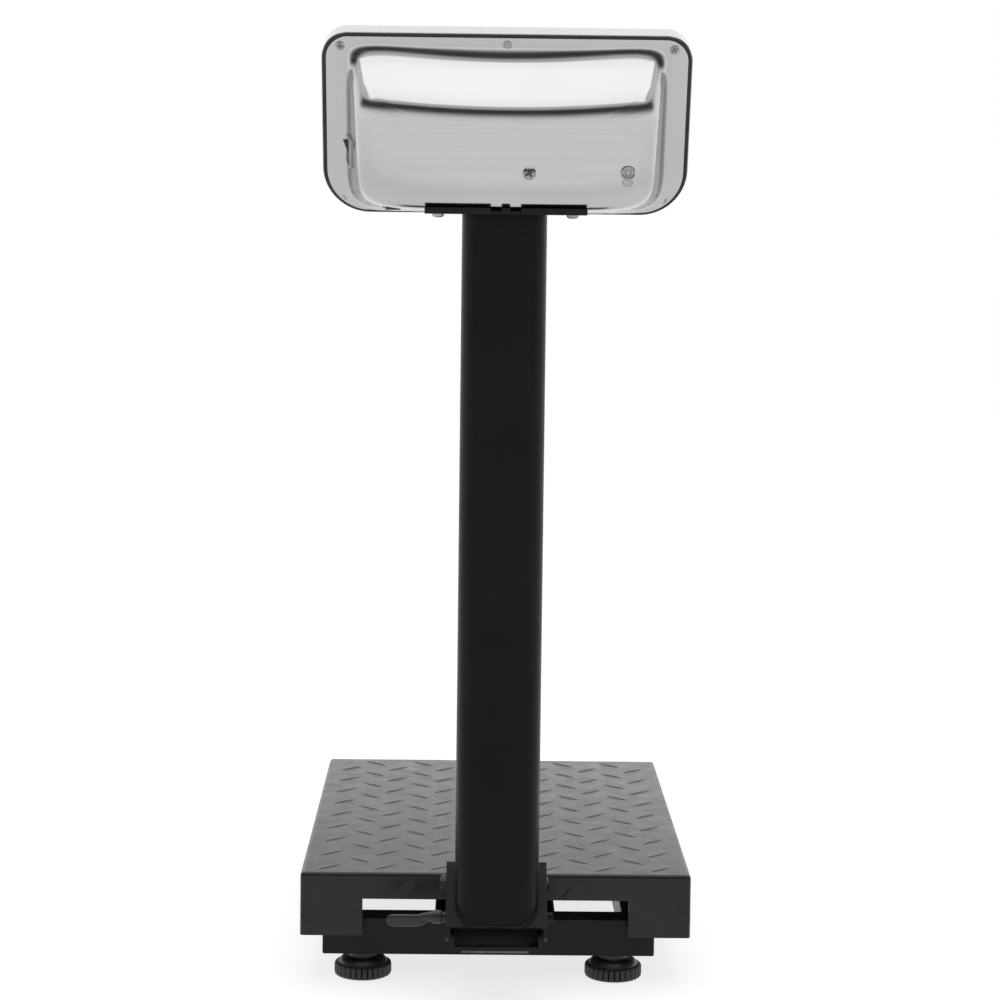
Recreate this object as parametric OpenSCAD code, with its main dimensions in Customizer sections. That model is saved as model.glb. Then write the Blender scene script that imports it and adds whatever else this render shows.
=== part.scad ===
// Folding platform scale: a deck on a load cell, a hinged column and a tilted readout head.
// Millimetres, +Z up. The operator stands on the -Y side and the column is at the +Y edge.
// The origin is on the floor, under the middle of the whole scale.

/* [Deck] */
// Width of the deck
deck_w = 300; // [290:1:310]
// Length of the deck, front to back
deck_l = 400; // [395:1:405]
// Height of the deck's top face above the floor
deck_top = 85.5; // [85.3:0.1:85.7]
// Height of the deck's folded sides
skirt_h = 48.5; // [44:0.5:52]
// Width of the opening in the deck's rear side
notch_w = 203; // [180:1:220]
// Height of the top of that opening above the floor
notch_top = 65.5; // [64.5:0.1:66.5]

/* [Base] */
// Width of the base frame
base_w = 255; // [250:1:260]
// Depth of each base tube, seen from above
tube_d = 24; // [22:0.5:26]
// Height of the base frame's underside
base_low = 19; // [18.8:0.1:19.2]
// Height of the base frame's top
base_high = 47; // [46.5:0.1:47]
// Sideways distance of each foot from the middle
foot_x = 96.7; // [90:0.1:97]
// Radius of a foot's ribbed wheel
wheel_r = 22; // [20:0.5:23]
// How far the base frame and its feet sit to the left under the deck
base_shift = 5; // [0:0.5:5]
// Number of grip ribs on a foot's wheel
wheel_ribs = 30; // [18:1:36]

/* [Column] */
// Width of the column tube
column_w = 62; // [58:0.5:64]
// Depth of the column tube, front to back
column_d = 42.5; // [42:0.1:42.6]
// Corner radius of the column tube
column_r = 17; // [10:0.5:19]
// Wall thickness of the column tube
column_wall = 1.8; // [1.2:0.1:2.5]
// Radius of the hinge bolt and of the lock stud
bolt_r = 4; // [3.9:0.05:4.05]

/* [Head] */
// Width of the head's front housing
head_w = 264; // [262:1:268]
// Length of the head along its tilted face
head_l = 135; // [134:0.5:136]
// Lean of the head's face towards the rear, degrees
head_tilt = 20.4; // [20:0.1:20.8]
// Width of a key
key_w = 34; // [30:0.5:38]
// Height of a key
key_h = 14; // [12:0.5:16]

/* [Hidden] */
$fn = 48;
// how far the head's rear screws stand behind the deck's rear edge
overhang = 127.5;
rear_y = (deck_l - overhang) / 2;
sheet = 2.5;
ear_in = 35;
ear_out = ear_in + sheet;
channel_x = 33.75;
channel_wall = 3;
// hinge and lock, as distance behind the deck's rear edge and height
pivot = [21, 84];
lock = [46, 65.5];
lock_reach = norm(lock - pivot);
lock_angle = atan2(lock[1] - pivot[1], lock[0] - pivot[0]);
// top face of the sloping web that carries the column
web_low = [70, 65];
web_high = [26, 102];
web_slope = (web_high[1] - web_low[1]) / (web_low[0] - web_high[0]);
column_y = 48.5;
column_top = 587;
// lower end of the head's flange plane
head_foot = [50, 587.5];
head_wall = 1.5;
face_d = -23.2;
face_back = -21;
gasket_d = -1.2;
flange_t = 1.2;
bulge_low = 589.5;
bulge_rear = 125;
bulge_half = 114;
side_draft = 0.2;
foot_near = -25;
foot_far = 25 - deck_l;
beam_rear = -13;
running = 0.06;
switch_v = 51.6;
switch_s = 14.3;
charger = [80, 95];
clamp_screw_at = [-16, 616];
seal_at = [-85, 617];
flange_screws = [[-118.4, 125.6], [118.4, 125.6], [0, 127.4], [-114.6, 13.3], [114.6, 13.3]];
black = [0.09, 0.09, 0.095];
steel = [0.72, 0.73, 0.74];
zinc = [0.6, 0.61, 0.63];
rubber = [0.06, 0.06, 0.06];
plastic = [0.12, 0.12, 0.13];

// a box between two corners, with y counted from the deck's rear edge
module block(low, high) {
  translate([low[0], low[1] + rear_y, low[2]])
    cube(high - low);
}

// a flat outline in depth and height, carried along X
module along_x(x0, x1) {
  translate([x0, rear_y, 0])
    rotate([90, 0, 90])
      linear_extrude(x1 - x0)
        children();
}

// a round bar along X at a given depth and height
module bar_x(x0, x1, at, r) {
  translate([x0, rear_y + at[0], at[1]])
    rotate([0, 90, 0])
      cylinder(h = x1 - x0, r = r);
}

// a round bar along Y at a given place and height
module bar_y(y0, y1, at, r) {
  translate([at[0], rear_y + y1, at[1]])
    rotate([90, 0, 0])
      cylinder(h = y1 - y0, r = r);
}

// an upright round bar
module post(x, y, z0, z1, r) {
  translate([x, rear_y + y, z0])
    cylinder(h = z1 - z0, r = r);
}

module hex_post(x, y, z0, z1, r) {
  translate([x, rear_y + y, z0])
    cylinder(h = z1 - z0, r = r, $fn = 6);
}

// local frame of the head: x sideways, y behind the flange plane, z up along it
module head() {
  translate([0, rear_y + head_foot[0], head_foot[1]])
    rotate([-head_tilt, 0, 0])
      children();
}

// an outline seen from the back, given thickness between two depths of the head's frame
module sheet_between(d0, d1) {
  translate([0, d1, 0])
    rotate([90, 0, 0])
      linear_extrude(d1 - d0)
        children();
}

module rounded_rect(w, d, r) {
  square([w - 2 * r, d], center = true);
  square([w, d - 2 * r], center = true);
  for (x = [-1, 1], y = [-1, 1])
    translate([x * (w / 2 - r), y * (d / 2 - r)])
      circle(r);
}

// a shield-like outline with its own radius for the lower and the upper corners
module shield(half, low, high, r_low, r_high) {
  translate([-half, low + r_low])
    square([2 * half, high - low - r_low - r_high]);
  translate([-half + r_low, low])
    square([2 * (half - r_low), r_low + 1]);
  translate([-half + r_high, high - r_high - 1])
    square([2 * (half - r_high), r_high + 1]);
  for (side = [-1, 1]) {
    translate([side * (half - r_low), low + r_low])
      circle(r_low);
    translate([side * (half - r_high), high - r_high])
      circle(r_high);
  }
}

module cross_beam(y0) {
  difference() {
    block([base_shift - base_w / 2, y0, base_low], [base_shift + base_w / 2, y0 + tube_d, base_high]);
    block([-base_w, y0 + 2, base_low + 2], [base_w, y0 + tube_d - 2, base_high - 2]);
    for (side = [-1, 1])
      post(base_shift + side * foot_x, y0 + tube_d / 2, base_low - 1, base_low + 3, bolt_r + 1.6);
  }
}

module rear_beam() {
  color(black)
    difference() {
      cross_beam(beam_rear - tube_d);
      for (side = [-1, 1])
        post(side * 18, foot_near, base_high - 3, base_high + 1, 3.05);
    }
}

module front_beam() {
  color(black)
    cross_beam(-deck_l - beam_rear);
}

module rail(side) {
  x = base_shift + side * (base_w - tube_d) / 2;
  y0 = -deck_l - beam_rear + tube_d;
  y1 = beam_rear - tube_d;
  color(black)
    difference() {
      block([x - tube_d / 2, y0, base_low], [x + tube_d / 2, y1, base_high]);
      block([x - tube_d / 2 + 2, y0 - 1, base_low + 2], [x + tube_d / 2 - 2, y1 + 1, base_high - 2]);
    }
}

module left_rail() {
  rail(1);
}

module right_rail() {
  rail(-1);
}

// sideways and lengthways places of the load cell's bolts
module at_cell_bolts(ys) {
  for (x = [-10, 10], y = ys)
    translate([x, y, 0])
      children();
}

module load_cell_trough() {
  y0 = -deck_l - beam_rear + tube_d;
  y1 = beam_rear - tube_d;
  color(black)
    difference() {
      block([-46.5, y0, base_low], [46.5, y1, base_high]);
      block([-43.5, y0 - 1, base_low + 3], [43.5, y1 + 1, base_high + 1]);
      at_cell_bolts([-158, -138])
        post(0, 0, base_low - 1, base_low + 4, 4.1);
    }
}

module load_cell() {
  color([0.78, 0.79, 0.8])
    difference() {
      block([-20, -275, 26], [20, -125, 64]);
      bar_x(-21, 21, [-212, 45], 13);
      bar_x(-21, 21, [-188, 45], 13);
      block([-21, -212, 42], [21, -188, 48]);
      at_cell_bolts([-158, -138])
        post(0, 0, 25, 44, 4.1);
      at_cell_bolts([-262, -242])
        post(0, 0, 46, 65, 4.1);
    }
}

module load_cell_spacers() {
  color(zinc)
    difference() {
      union() {
        block([-20, -168, base_low + 3], [20, -128, 26]);
        block([-20, -272, 64], [20, -232, 67]);
      }
      at_cell_bolts([-158, -138])
        post(0, 0, 20, 27, 4.1);
      at_cell_bolts([-262, -242])
        post(0, 0, 63, 68, 4.1);
    }
}

module load_cell_bolts() {
  color(zinc) {
    at_cell_bolts([-158, -138]) {
      post(0, 0, base_low - 0.5, 43, bolt_r);
      hex_post(0, 0, base_low - 5.5, base_low, 7.5);
    }
    at_cell_bolts([-262, -242]) {
      post(0, 0, 47, 70.5, bolt_r);
      hex_post(0, 0, 70, 75.3, 7.5);
    }
  }
}

module upper_frame() {
  color(black)
    difference() {
      union() {
        for (side = [-1, 1])
          difference() {
            block([side * 107 - 12, -370, 67], [side * 107 + 12, -30, 80]);
            block([side * 107 - 10, -371, 69], [side * 107 + 10, -29, 78]);
          }
        difference() {
          block([-95, -277, 67], [95, -227, 80]);
          block([-96, -274, 70], [96, -230, 78]);
        }
      }
      at_cell_bolts([-262, -242]) {
        post(0, 0, 66, 71, 4.1);
        post(0, 0, 77, 81, 8.5);
      }
      for (x = [-111, 111], y = [-350, -50])
        post(x, y, 66, 81, 3.05);
    }
}

module cover_pads() {
  color(rubber)
    for (x = [-107, 107], y = [-320, -80])
      block([x - 11, y - 20, 80], [x + 11, y + 20, 83]);
}

module platform_cover() {
  low = deck_top - skirt_h;
  color(black)
    difference() {
      block([-deck_w / 2, -deck_l, low], [deck_w / 2, 0, deck_top]);
      block([2 - deck_w / 2, 2 - deck_l, low - 1], [deck_w / 2 - 2, -2, deck_top - 2.5]);
      block([-notch_w / 2, -3, low - 1], [notch_w / 2, 1, notch_top]);
    }
}

module overload_stops() {
  color(zinc)
    for (x = [-111, 111], y = [-350, -50]) {
      post(x, y, 48, 80, 3);
      hex_post(x, y, 61.5, 67, 5.7);
    }
}

module foot_nuts() {
  color(zinc)
    for (x = [base_shift - foot_x, base_shift + foot_x], y = [foot_far, foot_near])
      difference() {
        hex_post(x, y, base_low + 2, base_low + 10, 9.5);
        post(x, y, base_low, base_low + 11, 5 + running);
      }
}

module channel_wall_outline() {
  polygon([[-40, base_high], [70, base_high], [70, 56.5], [32, 86], [21, 84], [10, 84], [2, 63], [-40, 63]]);
  translate(pivot)
    circle(11);
}

module column_channel() {
  color(black)
    difference() {
      union() {
        block([-channel_x, -40, base_high], [channel_x, 70, base_high + channel_wall]);
        along_x(-channel_x, channel_wall - channel_x)
          channel_wall_outline();
        along_x(channel_x - channel_wall, channel_x)
          channel_wall_outline();
      }
      bar_x(-40, 40, pivot, bolt_r + 0.05);
      bar_x(-40, 40, lock, bolt_r + running);
      for (side = [-1, 1])
        post(side * 18, foot_near, base_high - 1, base_high + 4, 3.05);
    }
}

module channel_bolts() {
  color(zinc)
    for (side = [-1, 1]) {
      post(side * 18, foot_near, 41, base_high + 4, 3);
      hex_post(side * 18, foot_near, base_high + channel_wall, base_high + 7, 5.7);
    }
}

module rear_beam_plate() {
  color(zinc)
    block([-26, beam_rear, base_low + 2], [26, beam_rear + 2, base_high - 1]);
}

module pivot_bolt() {
  color(black) {
    bar_x(-ear_out - 1, ear_out + 5, pivot, bolt_r);
    intersection() {
      translate([-ear_out - 0.3 + 7.6, rear_y + pivot[0], pivot[1]])
        sphere(9.9);
      bar_x(-ear_out - 2.6, -ear_out - 0.3, pivot, 6.35);
    }
  }
}

module pivot_nut() {
  color(black)
    difference() {
      translate([ear_out + 0.3, rear_y + pivot[0], pivot[1]])
        rotate([0, 90, 0])
          cylinder(h = 4, r = 6.9, $fn = 6);
      bar_x(ear_out, ear_out + 6, pivot, bolt_r + 0.05);
    }
}

module lock_nut() {
  color(zinc)
    difference() {
      translate([channel_wall - channel_x, rear_y + lock[0], lock[1]])
        rotate([0, 90, 0])
          cylinder(h = 6.5, r = 7.5, $fn = 6);
      bar_x(-40, 0, lock, bolt_r + running);
    }
}

module base_cable() {
  color(rubber) {
    bar_y(-125, 8, [0, 54], 2.5);
    translate([0, rear_y + 8, 54])
      sphere(2.5);
    post(0, 8, 54, 66, 2.5);
  }
}

module lock_stud() {
  color(zinc)
    bar_x(-ear_out - 5, ear_out + 3, lock, bolt_r);
}

module lock_lever() {
  start = ear_out + 3;
  color(black) {
    bar_x(start, start + 6.6, lock, 5);
    translate([start + 6.6, rear_y + lock[0], lock[1]])
      rotate([0, 90, 0])
        cylinder(h = 8.2, r1 = 4.2, r2 = 2.4);
    translate([start + 12, rear_y + lock[0] + 2.4, lock[1] - 7.5])
      rotate([90, 0, 0])
        linear_extrude(4.8) {
          square([24.5, 9]);
          translate([24.5, 4.5])
            circle(4.5);
        }
  }
}

// sideways and depth place of each foot: 1 and 2 at the rear, 3 and 4 at the front
function foot_at(k) = [base_shift + (k % 2 == 1 ? 1 : -1) * foot_x, k < 3 ? foot_near : foot_far];

module foot_pad(k) {
  at = foot_at(k);
  color(rubber) {
    post(at[0], at[1], 0, 2.5, 17);
    post(at[0], at[1], 2, 6, 3);
  }
}

module foot_wheel(k) {
  at = foot_at(k);
  color(black)
    difference() {
      translate([at[0], rear_y + at[1], 0]) {
        translate([0, 0, 0.8])
          linear_extrude(9.5)
            polygon([for (i = [0 : 4 * wheel_ribs - 1])
              let (a = (i + (i % 2) * 0.3) * 90 / wheel_ribs, r = i % 4 < 2 ? wheel_r : wheel_r - 1.5)
                [r * cos(a), r * sin(a)]]);
        translate([0, 0, 10])
          cylinder(h = 4.5, r1 = wheel_r - 3.3, r2 = wheel_r - 6.5);
        translate([0, 0, 14])
          cylinder(h = base_low - 14.3, r = 10.2);
        cylinder(h = 41, r = 5);
      }
      post(at[0], at[1], -1, 2.8, 17.4);
      post(at[0], at[1], 0, 6.3, 3 + running);
    }
}

module column_tube() {
  color(black)
    difference() {
      translate([0, rear_y + column_y, 0])
        linear_extrude(column_top)
          difference() {
            rounded_rect(column_w, column_d, column_r);
            rounded_rect(column_w - 2 * column_wall, column_d - 2 * column_wall, column_r - column_wall);
          }
      along_x(-50, 50)
        polygon([[-20, -10], [120, -10], [120, web_low[1] - 50 * web_slope],
          [-20, web_low[1] + 90 * web_slope]]);
    }
}

module ear_outline() {
  polygon([web_high, web_low, [70, 57], [66, 53], [40, 53], [12.5, 75.5], [12.5, 92.5]]);
  translate(pivot)
    circle(12);
}

// the open arc that lets the ear swing off the lock stud
module lock_slot() {
  end = lock_angle - 48;
  far = lock_reach + 20;
  translate(pivot)
    intersection() {
      difference() {
        circle(lock_reach + bolt_r + 0.35);
        circle(lock_reach - bolt_r - 0.35);
      }
      polygon([[0, 0], far * [cos(lock_angle), sin(lock_angle)],
        1.2 * far * [cos(lock_angle - 24), sin(lock_angle - 24)], far * [cos(end), sin(end)]]);
    }
  translate(lock)
    circle(bolt_r + 0.35);
}

module column_seat() {
  color(black)
    difference() {
      union() {
        along_x(-ear_out, ear_out)
          polygon([web_low, web_high, web_high - [1.61, 1.91], web_low - [1.61, 1.91]]);
        for (x = [-ear_out, ear_in])
          along_x(x, x + sheet)
            difference() {
              ear_outline();
              lock_slot();
            }
      }
      bar_x(-40, 40, pivot, bolt_r + running);
      post(0, 58, 60, 100, 7);
    }
}

module head_bracket() {
  color(black)
    difference() {
      union() {
        block([-57, 53.5, column_top], [57, 125, column_top + 2.5]);
        block([-57, 123, column_top], [57, 125, column_top + 4.5]);
      }
      for (side = [-1, 1]) {
        post(side * 48, 90, column_top - 1, column_top + 4, 2.1);
        block([side * 6.75 - 3.75, 121, column_top - 1], [side * 6.75 + 3.75, 126, column_top + 6]);
      }
      post(0, 61, column_top - 1, column_top + 4, 6);
    }
}

module bracket_screws() {
  color(zinc)
    for (side = [-1, 1]) {
      post(side * 48, 90, column_top - 2.8, column_top, 4.2);
      post(side * 48, 90, column_top - 1, column_top + 4.4, 2);
    }
}

module cable_grommet() {
  color(rubber)
    difference() {
      post(0, 61, column_top - 2, column_top + 4.4, 5.95);
      post(0, 61, column_top - 3, column_top + 6, 2.55);
    }
}

module column_cable() {
  color(rubber)
    post(0, 61, 82, column_top + 20, 2.5);
}

// the head's rear body: inset is taken off all its walls, and the front is left open
module bulge(inset) {
  ahead = inset > 0 ? 8 : -0.6;
  lean = tan(head_tilt);
  foot_line = head_foot[0] + (bulge_low + inset - head_foot[1]) * lean - ahead;
  top_z = 702 - 0.63 * inset + 0.776 * ahead;
  intersection() {
    along_x(-140, 140)
      polygon([[foot_line, bulge_low + inset], [118 - 0.4 * inset, bulge_low + inset],
        [bulge_rear - inset, 597 + 0.4 * inset], [bulge_rear - inset, 662 - 0.36 * inset],
        [92.5 - 0.776 * inset - 0.631 * ahead, top_z]]);
    head()
      translate([0, 0, -30])
        linear_extrude(180)
          polygon([[-bulge_half - 2 + inset, -10], [bulge_half + 2 - inset, -10],
            [bulge_half - 80 * side_draft - inset, 80], [80 * side_draft - bulge_half + inset, 80]]);
    translate([0, rear_y + 140, 0])
      rotate([90, 0, 0])
        linear_extrude(120)
          shield(bulge_half + 4 - inset, bulge_low + inset, 725, 33 - inset, 20 - inset);
  }
}

// frame on the head's left side wall: x along its outward normal
module side_wall() {
  head()
    translate([bulge_half, 0, 0])
      rotate([0, 0, atan(side_draft)])
        translate([0, switch_s, switch_v])
          children();
}

module box_at(size, x0) {
  translate([x0, -size[1] / 2, -size[2] / 2])
    cube(size);
}

module head_rear_cover() {
  color(steel)
    difference() {
      union() {
        head()
          sheet_between(0, flange_t)
            shield(head_w / 2 - 2, 0.3, head_l, 33, 17);
        bulge(0);
      }
      bulge(head_wall);
      for (at = flange_screws)
        head()
          translate([at[0], 3, at[1]])
            rotate([90, 0, 0])
              cylinder(h = 5, r = 1.6);
      for (side = [-1, 1])
        post(side * 48, 90, bulge_low - 1, bulge_low + 3, 2.05);
      post(0, 61, bulge_low - 1, bulge_low + 3, 6);
      post(charger[0], charger[1], bulge_low - 1, bulge_low + 3, 5.6);
      bar_y(121, 127, clamp_screw_at, 2.05);
      bar_y(121, 127, seal_at, 2.05);
      side_wall()
        box_at([8, 13.4, 19.4], -6);
    }
}

module rear_cover_screws() {
  color(zinc)
    for (at = flange_screws)
      head()
        translate([at[0], flange_t, at[1]]) {
          rotate([-90, 0, 0])
            cylinder(h = 1.2, r1 = 3.2, r2 = 2.6);
          translate([0, 0.2, 0])
            rotate([90, 0, 0])
              cylinder(h = 11.2, r = 1.5);
        }
}

module head_gasket() {
  color(rubber)
    head()
      difference() {
        sheet_between(gasket_d, 0)
          difference() {
            shield(head_w / 2 - 3, 1.3, head_l - 1, 32, 16);
            shield(head_w / 2 - 20, 8, head_l - 14, 18, 6);
          }
        for (at = flange_screws)
          translate([at[0], 1, at[1]])
            rotate([90, 0, 0])
              cylinder(h = 4, r = 1.6);
      }
}

function key_x(k) = ((k - 1) % 4 - 1.5) * 46;
function key_v(k) = k < 5 ? 47 : 24;

module head_front_housing() {
  color(steel)
    head()
      difference() {
        union() {
          difference() {
            sheet_between(face_d, gasket_d)
              shield(head_w / 2, 0.3, head_l, 34, 19);
            sheet_between(face_back, 1)
              shield(head_w / 2 - 2.2, 2.5, head_l - 2.2, 31.8, 16.8);
          }
          for (at = flange_screws)
            translate([at[0], gasket_d, at[1]])
              rotate([90, 0, 0])
                cylinder(h = gasket_d - face_back + 0.5, r = 4);
        }
        for (at = flange_screws)
          translate([at[0], 0, at[1]])
            rotate([90, 0, 0])
              cylinder(h = 12, r = 1.6);
        translate([-96, face_d - 1, 74])
          cube([192, 5, 44]);
        for (k = [1 : 8])
          translate([key_x(k) - key_w / 2 - 0.35, face_d - 1, key_v(k) - key_h / 2 - 0.35])
            cube([key_w + 0.7, 5, key_h + 0.7]);
      }
}

module display_window() {
  color([0.2, 0.22, 0.22])
    head()
      translate([-101, face_back, 69.5])
        cube([202, 2, 53]);
}

module lcd_module() {
  color([0.55, 0.6, 0.5])
    head()
      translate([-94, face_back + 2.1, 72])
        cube([188, 8, 48]);
}

module main_board() {
  color([0.05, 0.3, 0.15])
    head() {
      translate([-90, -8, 20])
        cube([180, 1.6, 96]);
      translate([-20, -6.5, 60])
        cube([14, 2.5, 14]);
      translate([30, -6.5, 80])
        cube([22, 5, 12]);
      translate([-70, -6.5, 90])
        cube([12, 7, 12]);
    }
}

module keypad_panel() {
  color([0.05, 0.3, 0.15])
    head()
      translate([-98, -18, 10])
        cube([196, 1.6, 52]);
}

module key(k) {
  color(plastic)
    head()
      translate([key_x(k), 0, key_v(k)]) {
        translate([-key_w / 2, face_d - 1.8, -key_h / 2])
          cube([key_w, 5.3, key_h]);
        translate([-key_w / 2 - 1.5, -20.7, -key_h / 2 - 1.5])
          cube([key_w + 3, 1, key_h + 3]);
      }
}

module battery() {
  color([0.15, 0.15, 0.17]) {
    block([-66, 70, 592], [36, 117, 634]);
    block([-60, 76, 633.5], [-52, 84, 638]);
    block([22, 76, 633.5], [30, 84, 638]);
  }
}

module battery_clamp() {
  color(zinc)
    difference() {
      union() {
        block([-26, 117.3, 604], [-6, 119.3, 636.3]);
        block([-26, 78, 634.3], [-6, 119.3, 636.3]);
        bar_y(119, 123.4, clamp_screw_at, 4.5);
      }
      bar_y(117, 124, clamp_screw_at, 2.05);
    }
}

module switch_housing() {
  color(plastic)
    side_wall()
      difference() {
        union() {
          box_at([12.2, 13, 19], -12);
          box_at([1.8, 15, 21], 0.05);
        }
        box_at([12, 10.2, 17.4], -10);
        translate([-1, 6.2, 0])
          rotate([90, 0, 0])
            cylinder(h = 12.4, r = 1 + running);
      }
}

// the rocker rests tilted, with its lower half pressed in
module power_rocker() {
  color(plastic)
    side_wall()
      translate([-1, 0, 0]) {
        rotate([0, 8, 0])
          translate([0, 4.8, 0])
            rotate([90, 0, 0])
              linear_extrude(9.6)
                polygon([[-6, -4], [1.5, -8], [4.6, -8], [3, 0], [4.6, 8], [1.5, 8], [-6, 4]]);
        translate([0, 5.9, 0])
          rotate([90, 0, 0])
            cylinder(h = 11.8, r = 1);
      }
}

module charger_socket() {
  color(plastic)
    difference() {
      union() {
        post(charger[0], charger[1], bulge_low, bulge_low + 11, 5.5);
        post(charger[0], charger[1], bulge_low + head_wall, bulge_low + 3.5, 7.5);
      }
      post(charger[0], charger[1], bulge_low - 1, bulge_low + 9, 2.75);
    }
}

module clamp_screw() {
  color(zinc) {
    intersection() {
      bar_y(bulge_rear, bulge_rear + 2.5, clamp_screw_at, 4.65);
      translate([clamp_screw_at[0], rear_y + bulge_rear - 3.6, clamp_screw_at[1]])
        sphere(6.1);
    }
    bar_y(117.4, bulge_rear + 1, clamp_screw_at, 2);
  }
}

module seal_screw() {
  color(zinc) {
    difference() {
      bar_y(bulge_rear, bulge_rear + 2.5, seal_at, 5);
      bar_y(bulge_rear + 1, bulge_rear + 3, seal_at, 3.6);
    }
    bar_y(bulge_rear, bulge_rear + 1.2, seal_at - [2, 6.5], 3.4);
    bar_y(116, bulge_rear + 1.2, seal_at, 2);
  }
}

rear_beam();
front_beam();
left_rail();
right_rail();
load_cell_trough();
load_cell();
load_cell_spacers();
load_cell_bolts();
upper_frame();
cover_pads();
platform_cover();
overload_stops();
foot_nuts();
column_channel();
channel_bolts();
rear_beam_plate();
pivot_bolt();
pivot_nut();
lock_nut();
base_cable();
lock_stud();
lock_lever();
foot_pad(1);  // foot_pad_1
foot_pad(2);  // foot_pad_2
foot_pad(3);  // foot_pad_3
foot_pad(4);  // foot_pad_4
foot_wheel(1);  // foot_wheel_1
foot_wheel(2);  // foot_wheel_2
foot_wheel(3);  // foot_wheel_3
foot_wheel(4);  // foot_wheel_4
column_tube();
column_seat();
head_bracket();
bracket_screws();
cable_grommet();
column_cable();
head_rear_cover();
rear_cover_screws();
head_gasket();
head_front_housing();
display_window();
lcd_module();
main_board();
keypad_panel();
battery();
battery_clamp();
switch_housing();
power_rocker();
charger_socket();
clamp_screw();
seal_screw();
key(1);  // key_1
key(2);  // key_2
key(3);  // key_3
key(4);  // key_4
key(5);  // key_5
key(6);  // key_6
key(7);  // key_7
key(8);  // key_8
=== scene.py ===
import math
import random

import bmesh
import bpy
import numpy as np
from mathutils import Matrix, Vector


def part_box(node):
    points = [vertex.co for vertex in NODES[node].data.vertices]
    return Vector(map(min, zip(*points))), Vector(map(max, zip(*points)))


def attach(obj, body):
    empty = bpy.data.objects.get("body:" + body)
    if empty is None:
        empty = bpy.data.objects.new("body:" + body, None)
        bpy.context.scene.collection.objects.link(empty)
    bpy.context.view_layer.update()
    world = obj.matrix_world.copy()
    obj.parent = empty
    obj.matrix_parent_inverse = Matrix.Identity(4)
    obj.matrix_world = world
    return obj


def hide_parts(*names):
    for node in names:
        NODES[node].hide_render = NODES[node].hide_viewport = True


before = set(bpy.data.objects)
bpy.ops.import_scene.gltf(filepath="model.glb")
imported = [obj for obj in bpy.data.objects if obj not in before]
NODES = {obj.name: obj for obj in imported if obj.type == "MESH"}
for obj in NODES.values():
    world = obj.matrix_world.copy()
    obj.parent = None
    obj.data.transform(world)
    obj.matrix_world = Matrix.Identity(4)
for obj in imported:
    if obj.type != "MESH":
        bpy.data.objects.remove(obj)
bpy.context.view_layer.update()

MM = 0.001
random.seed(7)

# ---------------------------------------------------------------- places
DECK_LO, DECK_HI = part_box("platform_cover")
REAR_Y = DECK_HI.y / MM
TUBE_LO, TUBE_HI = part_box("column_tube")
HEAD_TILT = math.radians(20.4)
HEAD_FOOT = Vector((0, REAR_Y + 50, 587.5))
LOCK = Vector((0, REAR_Y + 46, 65.5))
CLAMP_SCREW = Vector((-16, REAR_Y + 124.8, 616))
SEAL_SCREW = Vector((-85, REAR_Y + 124.9, 617))
LUG_LENGTH, LUG_WIDTH, LUG_HEIGHT = 26.5, 6.8, 0.85
LUG_PITCH, LUG_LEAN = 42.5, math.radians(43)
TUBE_CORNER, TUBE_WALL = 17.0, 1.8


def head_point(x, d, v):
    """A point given sideways, behind the flange and up along it, in mm in the shared frame."""
    c, s = math.cos(HEAD_TILT), math.sin(HEAD_TILT)
    return Vector((x, HEAD_FOOT.y + d * c + v * s, HEAD_FOOT.z - d * s + v * c))


# ---------------------------------------------------------------- materials
class Nodes:
    """A short way to write a material's node tree."""

    def __init__(self, name):
        self.mat = bpy.data.materials.new(name)
        self.mat.use_nodes = True
        self.tree = self.mat.node_tree
        self.bsdf = self.tree.nodes["Principled BSDF"]
        self.co = self.add("ShaderNodeTexCoord").outputs["Object"]

    def add(self, kind, **props):
        n = self.tree.nodes.new(kind)
        for k, v in props.items():
            setattr(n, k, v)
        return n

    def link(self, a, b):
        self.tree.links.new(a, b)

    def noise(self, scale, detail=3.0, rough=0.55, stretch=None, kind="noise"):
        n = self.add("ShaderNodeTexNoise" if kind == "noise" else "ShaderNodeTexVoronoi")
        n.inputs["Scale"].default_value = scale
        if kind == "noise":
            n.inputs["Detail"].default_value = detail
            n.inputs["Roughness"].default_value = rough
        source = self.co
        if stretch:
            m = self.add("ShaderNodeMapping")
            m.inputs["Scale"].default_value = stretch
            self.link(self.co, m.inputs["Vector"])
            source = m.outputs["Vector"]
        self.link(source, n.inputs["Vector"])
        return n.outputs["Fac"] if kind == "noise" else n.outputs["Distance"]

    def ramp(self, fac, lo, hi, a, b):
        n = self.add("ShaderNodeMapRange")
        for key, value in (("From Min", lo), ("From Max", hi), ("To Min", a), ("To Max", b)):
            n.inputs[key].default_value = value
        self.link(fac, n.inputs["Value"])
        return n.outputs["Result"]

    def colours(self, fac, stops):
        n = self.add("ShaderNodeValToRGB")
        els = n.color_ramp.elements
        while len(els) < len(stops):
            els.new(0.5)
        for e, (at, c) in zip(els, stops):
            e.position = at
            e.color = (*c, 1)
        self.link(fac, n.inputs["Fac"])
        return n.outputs["Color"]

    def bump(self, height, strength, distance, over=None):
        n = self.add("ShaderNodeBump")
        n.inputs["Strength"].default_value = strength
        n.inputs["Distance"].default_value = distance
        self.link(height, n.inputs["Height"])
        if over:
            self.link(over, n.inputs["Normal"])
        return n.outputs["Normal"]

    def set(self, **values):
        for key, value in values.items():
            socket = self.bsdf.inputs[key.replace("_", " ")]
            if hasattr(value, "node"):
                self.link(value, socket)
            else:
                socket.default_value = value
        return self.mat


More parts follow.
